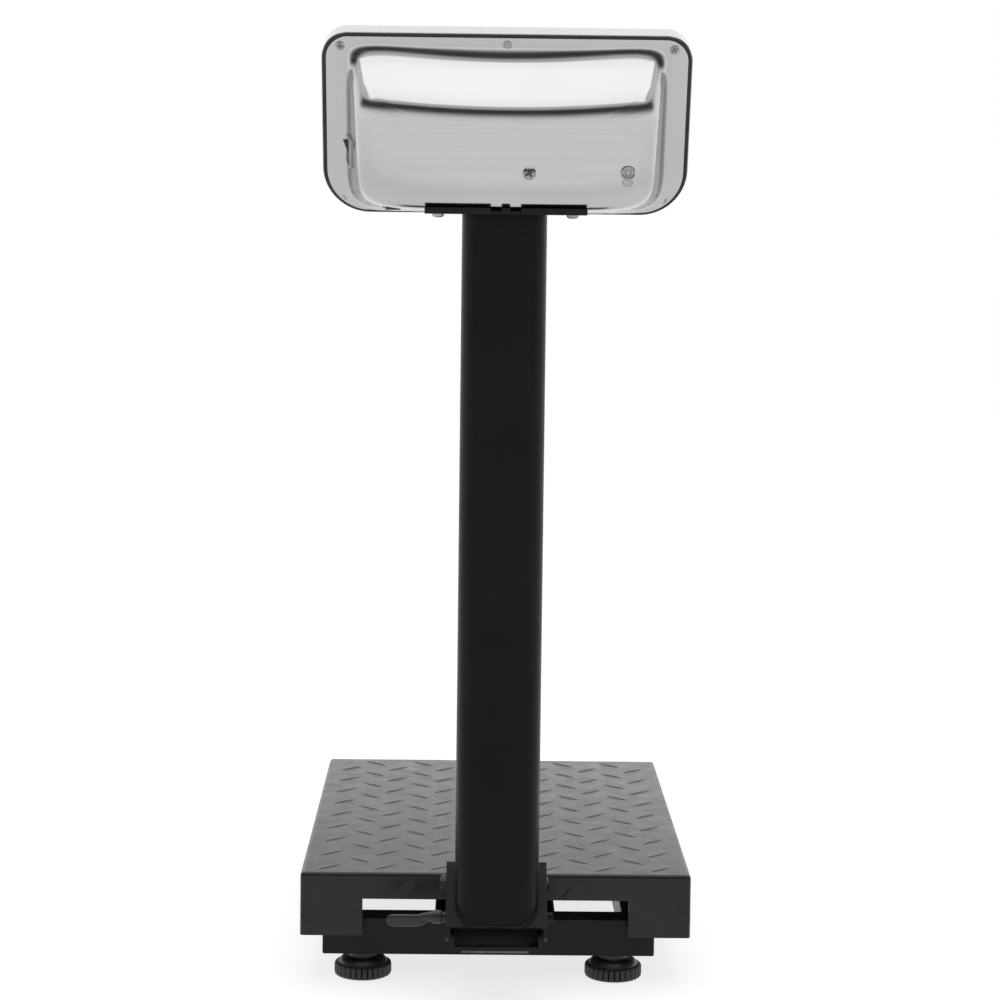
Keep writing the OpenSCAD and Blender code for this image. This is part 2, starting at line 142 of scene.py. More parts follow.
def powder_coat(name, dark=0.0045, light=0.0085, rough=0.36, ior=1.34, grain=1500.0, bump=0.22):
    """Black powder coat: a faint cloud in the colour and a fine orange-peel grain."""
    n = Nodes(name)
    cloud = n.noise(18, 4)
    fine = n.noise(grain, 2, 0.6)
    colour = n.colours(cloud, [(0.35, (dark, dark, dark * 1.03)), (0.7, (light, light, light * 1.04))])
    rough_map = n.ramp(n.noise(60, 5, 0.65), 0.3, 0.72, rough - 0.05, rough + 0.07)
    relief = n.bump(n.noise(140, 3), 0.10, 0.0004)
    relief = n.bump(fine, bump, 0.00012, relief)
    return n.set(Base_Color=colour, Roughness=rough_map, Normal=relief, IOR=ior, Specular_IOR_Level=0.5)


def stainless(name, tone=0.47, rough=0.17, brush=0.12, along=(6.0, 900.0, 900.0)):
    """Brushed sheet: fine lines stretched along one way, and a slow ripple."""
    n = Nodes(name)
    cloud = n.noise(9, 4)
    lines = n.noise(1.0, 3, 0.6, stretch=along)
    colour = n.colours(cloud, [(0.3, (tone * 0.94, tone * 0.945, tone * 0.95)),
                               (0.75, (tone, tone, tone * 1.005))])
    r = n.ramp(lines, 0.3, 0.7, rough - 0.03, rough + 0.05)
    relief = n.bump(lines, brush, 0.00003)
    relief = n.bump(n.noise(5, 2), 0.10, 0.0015, relief)
    return n.set(Base_Color=colour, Metallic=1.0, Roughness=r, Normal=relief)


def plated(name, tone=(0.5, 0.51, 0.52), rough=0.32, dull=0.7):
    """Plated or bare metal with a mottled dulling."""
    n = Nodes(name)
    cloud = n.noise(120, 4)
    colour = n.colours(cloud, [(0.3, tuple(t * dull for t in tone)), (0.65, tone)])
    r = n.ramp(n.noise(300, 3), 0.3, 0.7, rough - 0.06, rough + 0.1)
    return n.set(Base_Color=colour, Metallic=1.0, Roughness=r, Normal=n.bump(n.noise(900, 2), 0.15, 0.00008))


def rubberlike(name, tone=0.012, rough=0.62, grain=900.0):
    """Matt rubber or cable jacket."""
    n = Nodes(name)
    cloud = n.noise(40, 4)
    colour = n.colours(cloud, [(0.3, (tone * 0.7,) * 3), (0.7, (tone * 1.4,) * 3)])
    r = n.ramp(n.noise(90, 4), 0.3, 0.7, rough - 0.08, rough + 0.08)
    return n.set(Base_Color=colour, Roughness=r, Normal=n.bump(n.noise(grain, 2), 0.3, 0.00012))


def moulded(name, tone=(0.014, 0.014, 0.015), rough=0.4, grain=1800.0, bump=0.2):
    """Moulded plastic with a spark-eroded grain."""
    n = Nodes(name)
    cloud = n.noise(30, 4)
    colour = n.colours(cloud, [(0.3, tuple(t * 0.8 for t in tone)), (0.7, tuple(t * 1.2 for t in tone))])
    r = n.ramp(n.noise(70, 4), 0.3, 0.7, rough - 0.05, rough + 0.07)
    return n.set(Base_Color=colour, Roughness=r, Normal=n.bump(n.noise(grain, 2), bump, 0.0001))


def board_green(name):
    """A circuit board with darker fields between its tracks."""
    n = Nodes(name)
    tracks = n.noise(220, 1, kind="voronoi")
    colour = n.colours(tracks, [(0.02, (0.01, 0.10, 0.035)), (0.06, (0.015, 0.055, 0.025))])
    return n.set(Base_Color=colour, Roughness=0.35, Normal=n.bump(tracks, 0.2, 0.0001))


def clear_window(name):
    """Clear plastic with faint smears."""
    n = Nodes(name)
    smears = n.ramp(n.noise(25, 4), 0.35, 0.7, 0.03, 0.10)
    return n.set(Base_Color=(0.55, 0.58, 0.58, 1), Roughness=smears, Transmission_Weight=1.0, IOR=1.45)


MAT = {
    "coat": powder_coat("black_powder_coat", 0.003, 0.006, 0.36, 1.28),
    "tube": powder_coat("column_powder_coat", 0.0022, 0.0042, 0.34, 1.22),
    "deck": powder_coat("deck_powder_coat", 0.003, 0.006, 0.30, 1.40, 1100.0, 0.2),
    "steel": stainless("satin_stainless"),
    "front_steel": stainless("front_stainless", 0.50, 0.22, 0.16),
    "zinc": plated("zinc_plate"),
    "screw": plated("nickel_screws", (0.42, 0.42, 0.43), 0.25, 0.55),
    "dark_bolt": plated("blackened_bolt", (0.05, 0.05, 0.052), 0.35, 0.5),
    "plate": plated("bare_plate", (0.16, 0.16, 0.165), 0.5, 0.6),
    "alloy": stainless("machined_aluminium", 0.6, 0.35, 0.3, (900.0, 30.0, 900.0)),
    "rubber": rubberlike("black_rubber"),
    "cable": rubberlike("cable_jacket", 0.016, 0.45, 500.0),
    "foot": moulded("foot_plastic", (0.008, 0.008, 0.0085), 0.42),
    "plastic": moulded("black_plastic"),
    "key": moulded("key_plastic", (0.19, 0.20, 0.215), 0.5),
    "pale_case": moulded("pale_switch_plastic", (0.42, 0.42, 0.42), 0.25, 900.0, 0.08),
    "switch": moulded("switch_plastic", (0.02, 0.02, 0.021), 0.3, 900.0, 0.08),
    "battery": moulded("battery_plastic", (0.05, 0.05, 0.055), 0.5),
    "board": board_green("circuit_board"),
    "window": clear_window("display_window_plastic"),
    "lcd": moulded("display_glass", (0.30, 0.36, 0.28), 0.2, 400.0, 0.03),
    "ink": moulded("display_segments", (0.02, 0.025, 0.02), 0.4),
}
CAD_MATERIALS = {
    "coat": "rear_beam front_beam left_rail right_rail load_cell_trough upper_frame column_channel "
            "head_bracket column_seat",
    "tube": "column_tube",
    "alloy": "load_cell",
    "zinc": "load_cell_spacers load_cell_bolts overload_stops foot_nuts channel_bolts lock_nut battery_clamp",
    "screw": "lock_stud bracket_screws clamp_screw seal_screw",
    "plate": "rear_beam_plate",
    "dark_bolt": "pivot_bolt pivot_nut",
    "rubber": "cover_pads cable_grommet head_gasket foot_pad_1 foot_pad_2 foot_pad_3 foot_pad_4",
    "cable": "base_cable column_cable",
    "key": "key_1 key_2 key_3 key_4 key_5 key_6 key_7 key_8",
    "board": "main_board keypad_panel",
    "battery": "battery",
    "plastic": "charger_socket",
    "switch": "power_rocker",
    "pale_case": "switch_housing",
    "window": "display_window",
    "lcd": "lcd_module",
}
BEVELS = {
    "rear_beam": 1.2, "front_beam": 1.2, "left_rail": 1.2, "right_rail": 1.2, "load_cell_trough": 1.0,
    "column_channel": 0.6, "head_bracket": 0.5, "rear_beam_plate": 0.4, "upper_frame": 0.8,
    "switch_housing": 0.4, "power_rocker": 0.5, "column_seat": 0.6, "battery": 1.0,
    "key_1": 1.1, "key_2": 1.1, "key_3": 1.1, "key_4": 1.1, "key_5": 1.1, "key_6": 1.1, "key_7": 1.1,
    "key_8": 1.1,
}


def paint(obj, key):
    """Give a piece its only material."""
    obj.data.materials.clear()
    obj.data.materials.append(MAT[key])


for key, names in CAD_MATERIALS.items():
    for node in names.split():
        paint(NODES[node], key)
for node, width in BEVELS.items():
    weld = NODES[node].modifiers.new("weld", "WELD")
    weld.merge_threshold = 0.00001
    bevel = NODES[node].modifiers.new("edge", "BEVEL")
    bevel.width = width * MM
    bevel.segments = 3
    bevel.limit_method = "ANGLE"
    bevel.angle_limit = math.radians(38)
    bevel.harden_normals = False


# ---------------------------------------------------------------- mesh helpers
def finish_piece(bm, name, key, body, stands_for=(), smooth_angle=32, normals=True):
    """The mesh of a builder, in mm, becomes a piece in metres that rides on a body."""
    if normals:
        bmesh.ops.recalc_face_normals(bm, faces=bm.faces)
    bmesh.ops.scale(bm, vec=(MM, MM, MM), verts=bm.verts)
    limit = math.radians(smooth_angle)
    for f in bm.faces:
        f.smooth = True
    for e in bm.edges:
        if len(e.link_faces) == 2 and e.calc_face_angle(0) > limit:
            e.smooth = False
    data = bpy.data.meshes.new(name)
    bm.to_mesh(data)
    bm.free()
    obj = bpy.data.objects.new(name, data)
    bpy.context.scene.collection.objects.link(obj)
    paint(obj, key)
    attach(obj, body)
    if stands_for:
        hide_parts(*stands_for)
    return obj


def add_loop(bm, points):
    """The vertices of one ring."""
    return [bm.verts.new(p) for p in points]


def bridge(bm, a, b, closed=True):
    """Quads between two rings of the same length."""
    n = len(a)
    for i in range(n if closed else n - 1):
        j = (i + 1) % n
        bm.faces.new((a[i], a[j], b[j], b[i]))


def loft(bm, rings, closed=True, cap_first=False, cap_last=False):
    """A skin over rings of the same length, with ends closed if asked."""
    made = [add_loop(bm, r) for r in rings]
    for a, b in zip(made, made[1:]):
        bridge(bm, a, b, closed)
    if cap_first:
        bm.faces.new(made[0])
    if cap_last:
        bm.faces.new(made[-1])
    return made


def lathe(bm, profile, matrix, steps=64, wobble=None):
    """Rings about the local Z axis; wobble(angle, r, z) may change a ring's radius."""
    rings = []
    for r, z in profile:
        ring = []
        for i in range(steps):
            a = 2 * math.pi * i / steps
            rr = wobble(a, r, z) if wobble else r
            ring.append(matrix @ Vector((rr * math.cos(a), rr * math.sin(a), z)))
        rings.append(ring)
    made = [add_loop(bm, r) for r in rings]
    for a, b in zip(made, made[1:]):
        bridge(bm, a, b)
    for end in (made[0], made[-1]):
        bm.faces.new(end)
    return made


def arc(cx, cy, r, a0, a1, n):
    """Points along an arc, with its angles in degrees."""
    return [(cx + r * math.cos(math.radians(a0 + (a1 - a0) * i / n)),
             cy + r * math.sin(math.radians(a0 + (a1 - a0) * i / n))) for i in range(n + 1)]


def shield(half, low, high, r_low, r_high, n=14, side=8):
    """Outline with its own corner radius below and above, anticlockwise, with points along its sides."""
    pts = []
    corners = [arc(half - r_low, low + r_low, r_low, -90, 0, n),
               arc(half - r_high, high - r_high, r_high, 0, 90, n),
               arc(-half + r_high, high - r_high, r_high, 90, 180, n),
               arc(-half + r_low, low + r_low, r_low, 180, 270, n)]
    for k, c in enumerate(corners):
        pts += c
        nxt = corners[(k + 1) % 4][0]
        steps = side * (3 if k in (1, 3) else 1)
        for i in range(1, steps):
            t = i / steps
            pts.append((c[-1][0] + (nxt[0] - c[-1][0]) * t, c[-1][1] + (nxt[1] - c[-1][1]) * t))
    return pts


def plate_curve(name, loops, thick, edge, to_world, key, body, stands_for=()):
    """A flat plate with holes and softly broken edges, from loops in its own plane."""
    data = bpy.data.curves.new(name + "_outline", "CURVE")
    data.dimensions = "2D"
    data.fill_mode = "BOTH"
    data.extrude = max(thick / 2 - edge, 0.01) * MM
    data.bevel_depth = edge * MM
    data.bevel_resolution = 2
    data.offset = -edge * MM
    for loop in loops:
        s = data.splines.new("POLY")
        s.points.add(len(loop) - 1)
        for p, (x, y) in zip(s.points, loop):
            p.co = (x * MM, y * MM, 0, 1)
        s.use_cyclic_u = True
    temp = bpy.data.objects.new(name + "_outline", data)
    bpy.context.scene.collection.objects.link(temp)
    bpy.context.view_layer.update()
    mesh = bpy.data.meshes.new_from_object(temp.evaluated_get(bpy.context.evaluated_depsgraph_get()))
    bpy.data.objects.remove(temp)
    bm = bmesh.new()
    bm.from_mesh(mesh)
    bpy.data.meshes.remove(mesh)
    bmesh.ops.scale(bm, vec=(1 / MM,) * 3, verts=bm.verts)
    bmesh.ops.transform(bm, matrix=to_world, verts=bm.verts)
    bmesh.ops.remove_doubles(bm, verts=bm.verts, dist=0.002)
    return finish_piece(bm, name, key, body, stands_for, 40)


def rect_loop(x0, y0, x1, y1, r, n=6):
    """A rectangle with rounded corners, anticlockwise."""
    return (arc(x1 - r, y0 + r, r, -90, 0, n) + arc(x1 - r, y1 - r, r, 0, 90, n)
            + arc(x0 + r, y1 - r, r, 90, 180, n) + arc(x0 + r, y0 + r, r, 180, 270, n))


# ---------------------------------------------------------------- deck
def lug(bm, centre, u, w, n, length, width, height):
    """A raised lug with pointed ends: u along it, w across it, n out of the surface."""
    along, across = 12, 6
    grid = []
    for i in range(along + 1):
        t = -1 + 2 * i / along
        half = width / 2 * (1 - abs(t) ** 2.2) ** 0.8
        row = []
        for j in range(across + 1):
            s = -1 + 2 * j / across
            rise = height * (1 - s * s) ** 1.6 * (1 - abs(t) ** 2.5) - 0.03
            row.append(centre + u * (t * length / 2) + w * (s * half) + n * rise)
        grid.append(row)
    rows = [[bm.verts.new(p) for p in row] for row in grid]
    for a, b in zip(rows, rows[1:]):
        for j in range(across):
            bm.faces.new((a[j], a[j + 1], b[j + 1], b[j]))


def add_lugs(bm, origin, ux, uy, normal, w, h, margin, shift, height=LUG_HEIGHT):
    """Lugs over a w by h face: two interleaved square lattices, one of each lean, cut at the face's edges."""
    for family in (0, 1):
        angle = LUG_LEAN if family == 0 else math.pi - LUG_LEAN
        u = ux * math.cos(angle) + uy * math.sin(angle)
        across = normal.cross(u)
        for i in range(-12, 13):
            for j in range(-12, 13):
                a = (i + family / 2 + shift[0]) * LUG_PITCH
                b = (j + family / 2 + shift[1]) * LUG_PITCH
                if abs(a) > w / 2 - margin or abs(b) > h / 2 - margin:
                    continue
                over_a = max(0, abs(a) + abs(math.cos(angle)) * 13.2 - (w / 2 - margin))
                over_b = max(0, abs(b) + abs(math.sin(angle)) * 13.2 - (h / 2 - margin))
                cut = max(over_a / abs(math.cos(angle)), over_b / abs(math.sin(angle)))
                if cut > 14:
                    continue
                toward = -1 if (a * math.cos(angle) if over_a else b * math.sin(angle)) > 0 else 1
                centre = origin + ux * a + uy * b + u * (toward * cut / 2)
                lug(bm, centre, u, across, normal, LUG_LENGTH - cut, LUG_WIDTH, height)


def build_deck():
    """The folded cover with its rear opening; the sheet stays inside its box by the lugs' height."""
    x1, y0, y1 = DECK_HI.x / MM - 0.9, DECK_LO.y / MM + 0.9, DECK_HI.y / MM - 0.7
    z0, z1 = DECK_LO.z / MM, DECK_HI.z / MM
    bm = bmesh.new()
    fold = 3.0
    notch, notch_top, wall = 101.5, 65.5, 2.0
    eaves = z1 - fold

    def outline(inset, r):
        return rect_loop(-x1 + inset, y0 + inset, x1 - inset, y1 - inset, r, 8)

    rings = []
    for k in range(7):
        a = math.radians(90 * k / 6)
        inset = fold - fold * math.sin(a)
        z = eaves + fold * math.cos(a)
        rings.append([Vector((x, y, z)) for x, y in outline(inset, max(3.2 - inset, 0.6))])
    loft(bm, rings, cap_first=True)
    # the sides go down from the last ring; its rear side is split at the notch edges
    ring = rings[-1]
    pts = []
    for i, p in enumerate(ring):
        q = ring[(i + 1) % len(ring)]
        pts.append(p)
        if abs(p.y - y1) < 0.01 and abs(q.y - y1) < 0.01 and abs(q.x - p.x) > 100:
            for x in (notch, -notch):
                pts.append(Vector((x, y1, p.z)))
    upper = [bm.verts.new((p.x, p.y, eaves)) for p in pts]
    mid = [bm.verts.new((p.x, p.y, notch_top)) for p in pts]
    low = [bm.verts.new((p.x, p.y, z0)) for p in pts]
    m = len(pts)

    def in_notch(i):
        return all(abs(p.y - y1) < 0.01 and abs(p.x) <= notch + 0.01 for p in (pts[i], pts[(i + 1) % m]))

    inside = [Vector((p.x - wall * (1 if p.x > 0 else -1) * (1 if abs(p.x) > notch + 1 else 0),
                      p.y - wall * (1 if p.y > (y0 + y1) / 2 else -1), 0)) for p in pts]
    in_top = [bm.verts.new((p.x, p.y, z1 - 2.5)) for p in inside]
    in_mid = [bm.verts.new((p.x, p.y, notch_top)) for p in inside]
    in_low = [bm.verts.new((p.x, p.y, z0)) for p in inside]
    for i in range(m):
        j = (i + 1) % m
        bm.faces.new((upper[i], upper[j], mid[j], mid[i]))
        bm.faces.new((in_top[i], in_mid[i], in_mid[j], in_top[j]))
        if in_notch(i):
            bm.faces.new((mid[i], mid[j], in_mid[j], in_mid[i]))
        else:
            bm.faces.new((mid[i], mid[j], low[j], low[i]))
            bm.faces.new((in_mid[i], in_low[i], in_low[j], in_mid[j]))
            bm.faces.new((low[i], low[j], in_low[j], in_low[i]))
    for i in range(m):
        prev = (i - 1) % m
        if in_notch(i) != in_notch(prev):
            bm.faces.new((mid[i], low[i], in_low[i], in_mid[i]))
    bm.faces.new(in_top)
    bmesh.ops.remove_doubles(bm, verts=bm.verts, dist=0.01)
    bmesh.ops.recalc_face_normals(bm, faces=bm.faces)
    mid_y, side_mid = (y0 + y1) / 2, (z0 + eaves) / 2
    drop = eaves - z0
    X, Y, Z = Vector((1, 0, 0)), Vector((0, 1, 0)), Vector((0, 0, 1))
    add_lugs(bm, Vector((0, mid_y, z1)), X, Y, Z, 2 * x1, y1 - y0, 4.0, (0.0, 0.25))
    for s in (1, -1):
        add_lugs(bm, Vector((s * x1, mid_y, side_mid)), Y * s, Z, X * s, y1 - y0, drop, 1.0, (0.25, 0.25))
    add_lugs(bm, Vector((0, y0, side_mid)), X, Z, -Y, 2 * x1, drop, 1.0, (0.1, 0.25))
    for s in (1, -1):
        add_lugs(bm, Vector((s * 126, y1, side_mid)), -X, Z, Y, 46, drop, 0.5, (0.0, 0.3), 0.6)
    add_lugs(bm, Vector((0, y1, z1 - 11)), -X, Z, Y, 180, 15, -6, (0.4, 0.0), 0.55)
    return finish_piece(bm, "deck_cover", "deck", "base", ["platform_cover"], 30, normals=False)


build_deck()


# ---------------------------------------------------------------- feet
def build_foot(k):
    """A ribbed wheel with its threaded stud, and the grooved pad under it."""
    lo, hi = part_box(f"foot_wheel_{k}")
    cx, cy = (lo.x + hi.x) / 2 / MM, (lo.y + hi.y) / 2 / MM
    ribs, r = 30, 22.0

    def wobble(a, rr, z):
        if rr < 20.4:
            return rr
        wave = abs(math.cos(a * ribs / 2)) ** 0.7
        return rr - 1.7 * (1 - wave)

    rim = [(17.4, 2.8), (17.4, 0.8), (20.2, 0.8), (21.2, 1.0), (r - 0.2, 1.9), (r, 2.8), (r, 8.6),
           (r - 0.3, 9.7), (21.0, 10.3), (19.2, 10.4)]
    hub = [(18.9, 10.5), (18.6, 11.1), (17.2, 13.2), (15.9, 14.2), (15.3, 14.5), (11.2, 14.6),
           (10.6, 14.9), (10.2, 15.6), (10.2, 18.2), (9.8, 18.7), (5.4, 18.7)]
    threads = []
    z = 19.0
    while z < 40.5:
        threads += [(5.0, z), (4.45, z + 0.6)]
        z += 1.25
    bm = bmesh.new()
    lathe(bm, rim + hub + threads + [(3.6, 41.0)], Matrix.Translation((cx, cy, 0)), 240, wobble)
    finish_piece(bm, f"foot_wheel_ribbed_{k}", "foot", f"foot_wheel_{k}", [f"foot_wheel_{k}"], 38)
    bm = bmesh.new()
    pad = [(0.5, 6.0), (2.6, 6.0), (3.0, 5.6), (3.0, 2.5), (16.4, 2.5), (17.0, 2.1), (17.0, 0.5),
           (16.6, 0.15), (16.0, 0.0)]
    for groove in (14.0, 11.5, 9.0, 6.5):
        pad += [(groove + 0.5, 0.0), (groove + 0.2, 0.4), (groove - 0.2, 0.4), (groove - 0.5, 0.0)]
    lathe(bm, pad + [(3.0, 0.0)], Matrix.Translation((cx, cy, 0)), 72)
    finish_piece(bm, f"foot_pad_grooved_{k}", "rubber", f"foot_pad_{k}", [f"foot_pad_{k}"], 38)


for k in (1, 2, 3, 4):
    build_foot(k)


# ---------------------------------------------------------------- column
def tube_outline(w, d, r, n=14):
    """The tube section, centred on the tube."""
    return rect_loop(-w / 2, -d / 2, w / 2, d / 2, r, n)


WEB_LOW, WEB_HIGH = (REAR_Y + 70, 65.0), (REAR_Y + 26, 102.0)
WEB_SLOPE = (WEB_HIGH[1] - WEB_LOW[1]) / (WEB_HIGH[0] - WEB_LOW[0])


def web_z(y):
    """Height of the seat's sloping web, where the tube stands on it."""
    return WEB_LOW[1] + (y - WEB_LOW[0]) * WEB_SLOPE


def build_tube():
    """The rounded column tube, cut below along the web."""
    w, d = (TUBE_HI.x - TUBE_LO.x) / MM, (TUBE_HI.y - TUBE_LO.y) / MM
    cy, top = (TUBE_LO.y + TUBE_HI.y) / 2 / MM, TUBE_HI.z / MM
    bm = bmesh.new()
    outer = tube_outline(w, d, TUBE_CORNER)
    inner = tube_outline(w - 2 * TUBE_WALL, d - 2 * TUBE_WALL, TUBE_CORNER - TUBE_WALL)
    levels = [0.0, 0.02, 0.3, 0.6, 0.98, 1.0]
    rings = []
    for loop, heights in ((outer, levels), (inner, levels[::-1])):
        for t in heights:
            rings.append([Vector((x, y + cy, web_z(y + cy) * (1 - t) + top * t)) for x, y in loop])
    loft(bm, rings + [rings[0]])
    bmesh.ops.remove_doubles(bm, verts=bm.verts, dist=0.01)
    finish_piece(bm, "column_tube_body", "tube", "column", ["column_tube"], 35)


build_tube()


def build_weld():
    """The rippled bead round the tube's lower end, thicker at its corners."""
    w, d = (TUBE_HI.x - TUBE_LO.x) / MM, (TUBE_HI.y - TUBE_LO.y) / MM
    cy = (TUBE_LO.y + TUBE_HI.y) / 2 / MM
    pts = tube_outline(w, d, TUBE_CORNER, 20)
    dense = []
    for i, p in enumerate(pts):
        q = pts[(i + 1) % len(pts)]
        steps = max(1, int(math.dist(p, q)))
        dense += [(p[0] + (q[0] - p[0]) * s / steps, p[1] + (q[1] - p[1]) * s / steps)
                  for s in range(steps)]
    bm = bmesh.new()
    rings = []
    n = len(dense)
    for i, (x, y) in enumerate(dense):
        nx, ny = x / (w / 2), y / (d / 2)
        size = math.hypot(nx, ny) or 1
        corner = max(0.0, 1 - abs(abs(math.atan2(y, x)) % (math.pi / 2) - math.pi / 4) / 0.7)
        r = 0.55 + 1.3 * corner + 0.22 * math.sin(i * 2.1) + random.uniform(-0.12, 0.12)
        centre = Vector((x, y + cy, web_z(y + cy) + 0.2))
        out = Vector((nx / size, ny / size, 0))
        up = Vector((0, 0, 1))
        rings.append([centre + out * (r * math.cos(a)) + up * (r * math.sin(a))
                      for a in (math.radians(45 * k) for k in range(8))])
    made = [add_loop(bm, r) for r in rings]
    for i in range(n):
        bridge(bm, made[i], made[(i + 1) % n])
    finish_piece(bm, "seat_weld_bead", "coat", "column", (), 60)


build_weld()


# ---------------------------------------------------------------- head rear cover
BULGE_HALF, DRAFT = 114.0, 0.2


def body_planes():
    """The rear body's faces, as outward normal and distance from its middle, in the head's frame."""
    c, s = math.cos(HEAD_TILT), math.sin(HEAD_TILT)

    def local(ny, nz):
        return Vector((0, ny * c - nz * s, ny * s + nz * c))

    def at(y, z):
        y, z = y - 50, z - 587.5
        return Vector((0, y * c - z * s, y * s + z * c))

    centre = Vector((0, 0, 60))
    out = []
    for n, p in ((local(1, 0), at(125, 630)), (local(0, -1), at(90, 589.5)),
                 (local(40 / 51.5, 32.5 / 51.5), at(125, 662))):
        out.append((n, (p - centre).dot(n)))
    side = Vector((1, DRAFT, 0)).normalized()
    out.append((side, (Vector((BULGE_HALF, 0, 60)) - centre).dot(side)))
    mirrored = Vector((-side.x, side.y, 0))
    out.append((mirrored, out[-1][1]))
    return centre, out


def build_rear_cover():
    """The pressed rear cover: a flat flange, a concave fillet and a rounded body, as one sheet."""
    centre, planes = body_planes()
    side_soft, ridge_soft, bow = 11.0, 34.0, 4.0
    outline = shield(128.5, 2.4, 132.4, 31.3, 15.6, 16, 14)
    fillet = 9.5
    bm = bmesh.new()

    def reach(direction):
        """Distance to the rounded body: a tight ridge from panel to slope, softer edges elsewhere."""
        size = 60.0
        for _ in range(3):
            ks = []
            for i, (n, h) in enumerate(planes):
                if i == 2:
                    h = h - 1.2 + bow * min(abs(direction.x * size) / 105, 1.1) ** 2
                ks.append(max(n.dot(direction) / h, 1e-6))
            ridge = (ks[0] ** ridge_soft + ks[2] ** ridge_soft) ** (1 / ridge_soft)
            corner = (ks[1] ** 7.5 + ks[3] ** 7.5 + ks[4] ** 7.5) ** (1 / 7.5)
            total = ridge ** side_soft + corner ** side_soft
            size = total ** (-1 / side_soft)
        return size

    angles, flange = [], []
    for x, v in outline:
        angles.append(Vector((x, 0, v - centre.z)).normalized())
        flange.append(Vector((x, 0, v)))
    normal = Vector((0, 1, 0))
    body = []
    for step in range(0, 61):
        psi = math.radians(90 * (step / 60) ** 1.25)
        ring = []
        for e in angles:
            direction = e * math.cos(psi) + normal * math.sin(psi)
            ring.append(centre + direction * reach(direction))
        body.append(ring)
    # the concave fillet where the body meets the flange
    rings = []
    for ring in body:
        out = []
        for p, e, f in zip(ring, angles, flange):
            d = p.y
            if d < fillet:
                push = fillet - math.sqrt(max(0.0, fillet ** 2 - (fillet - d) ** 2))
                p = p + e * push
            limit = (f - centre).length - 0.8
            flat = Vector((p.x - centre.x, 0, p.z - centre.z))
            if flat.length > limit and d < 12:
                flat = flat.normalized() * limit
                p = Vector((centre.x + flat.x, p.y, centre.z + flat.z))
            out.append(p)
        rings.append(out)
    first = rings[0]
    top = 1.2
    sheet = [[head_point(p.x, top, p.z) for p in flange]]
    for t in (0.04, 0.25, 0.6, 0.9):
        lead = [f.lerp(Vector((p.x, 0, p.z)), t) for f, p in zip(flange, first)]
        sheet.append([head_point(p.x, top, p.z) for p in lead])
    for ring in rings:
        sheet.append([head_point(p.x, max(p.y, 0.0) + top * max(0.0, 1 - p.y / 12), p.z) for p in ring])
    loft(bm, sheet)
    bmesh.ops.remove_doubles(bm, verts=bm.verts, dist=0.02)
    bmesh.ops.recalc_face_normals(bm, faces=bm.faces)
    obj = finish_piece(bm, "head_rear_shell", "steel", "column", ["head_rear_cover"], 42)
    solid = obj.modifiers.new("sheet", "SOLIDIFY")
    solid.thickness = 1.0 * MM
    solid.offset = 1
    return obj


build_rear_cover()


# ---------------------------------------------------------------- head front
def inset(points, amount):
    """A closed outline moved inwards."""
    out = []
    n = len(points)
    for i, (x, v) in enumerate(points):
        ax, av = points[i - 1]
        bx, bv = points[(i + 1) % n]
        tx, tv = bx - ax, bv - av
        size = math.hypot(tx, tv) or 1
        out.append((x - tv / size * amount, v + tx / size * amount))
    return out


def build_front():
    """The front housing's rounded rim, and its face with the window and key openings."""
    face, back = -23.2, -1.2
    edge, wall = 5.0, 1.6
    outer = shield(132.0, 0.3, 135.0, 34.0, 19.0, 16, 8)
    rings = []
    rings.append([head_point(x, back, v) for x, v in inset(outer, wall)])
    rings.append([head_point(x, back, v) for x, v in inset(outer, 0.5)])
    rings.append([head_point(x, back - 0.5, v) for x, v in outer])
    for t in (0.3, 0.6, 1.0):
        d = back - 0.5 + (face + edge - back + 0.5) * t
        rings.append([head_point(x, d, v) for x, v in outer])
    for k in range(1, 9):
        a = math.radians(90 * k / 8)
        rings.append([head_point(x, face + edge - edge * math.sin(a), v)
                      for x, v in inset(outer, edge - edge * math.cos(a))])
    rings.append([head_point(x, face + 2.0, v) for x, v in inset(outer, edge)])
    rings.append([head_point(x, face + edge, v) for x, v in inset(outer, wall + 0.2)])
    bm = bmesh.new()
    loft(bm, rings + [rings[0]])
    bmesh.ops.remove_doubles(bm, verts=bm.verts, dist=0.01)
    finish_piece(bm, "head_front_rim", "front_steel", "column", ["head_front_housing"], 35)
    loops = [inset(outer, edge - 0.2)]
    loops.append(list(reversed(rect_loop(-96, 74, 96, 118, 3))))
    for k in range(1, 9):
        lo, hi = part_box(f"key_{k}")
        cx = (lo.x + hi.x) / 2 / MM
        cv = 47.0 if k < 5 else 24.0
        loops.append(list(reversed(rect_loop(cx - 17.4, cv - 7.4, cx + 17.4, cv + 7.4, 1.2))))
    to_world = (Matrix.Translation(head_point(0, face + 1.1, 0)) @ Matrix.Rotation(-HEAD_TILT, 4, "X")
                @ Matrix.Rotation(math.pi / 2, 4, "X"))
    plate_curve("head_front_face", loops, 2.2, 0.5, to_world, "front_steel", "column")


build_front()


def build_gasket():
    """The dark seam that shows round the flange, as a flat ring."""
    outer = shield(131.3, 0.6, 134.7, 33.6, 18.5, 16, 8)
    inner = shield(123.0, 6.0, 128.0, 27.0, 12.0, 16, 8)
    bm = bmesh.new()
    rings = []
    for points, d in ((outer, -1.1), (outer, 0.3), (inner, 0.3), (inner, -1.1)):
        rings.append([head_point(x, d, v) for x, v in points])
    loft(bm, rings + [rings[0]])
    bmesh.ops.remove_doubles(bm, verts=bm.verts, dist=0.01)
    finish_piece(bm, "head_seam_gasket", "rubber", "column", ["head_gasket"], 40)


build_gasket()


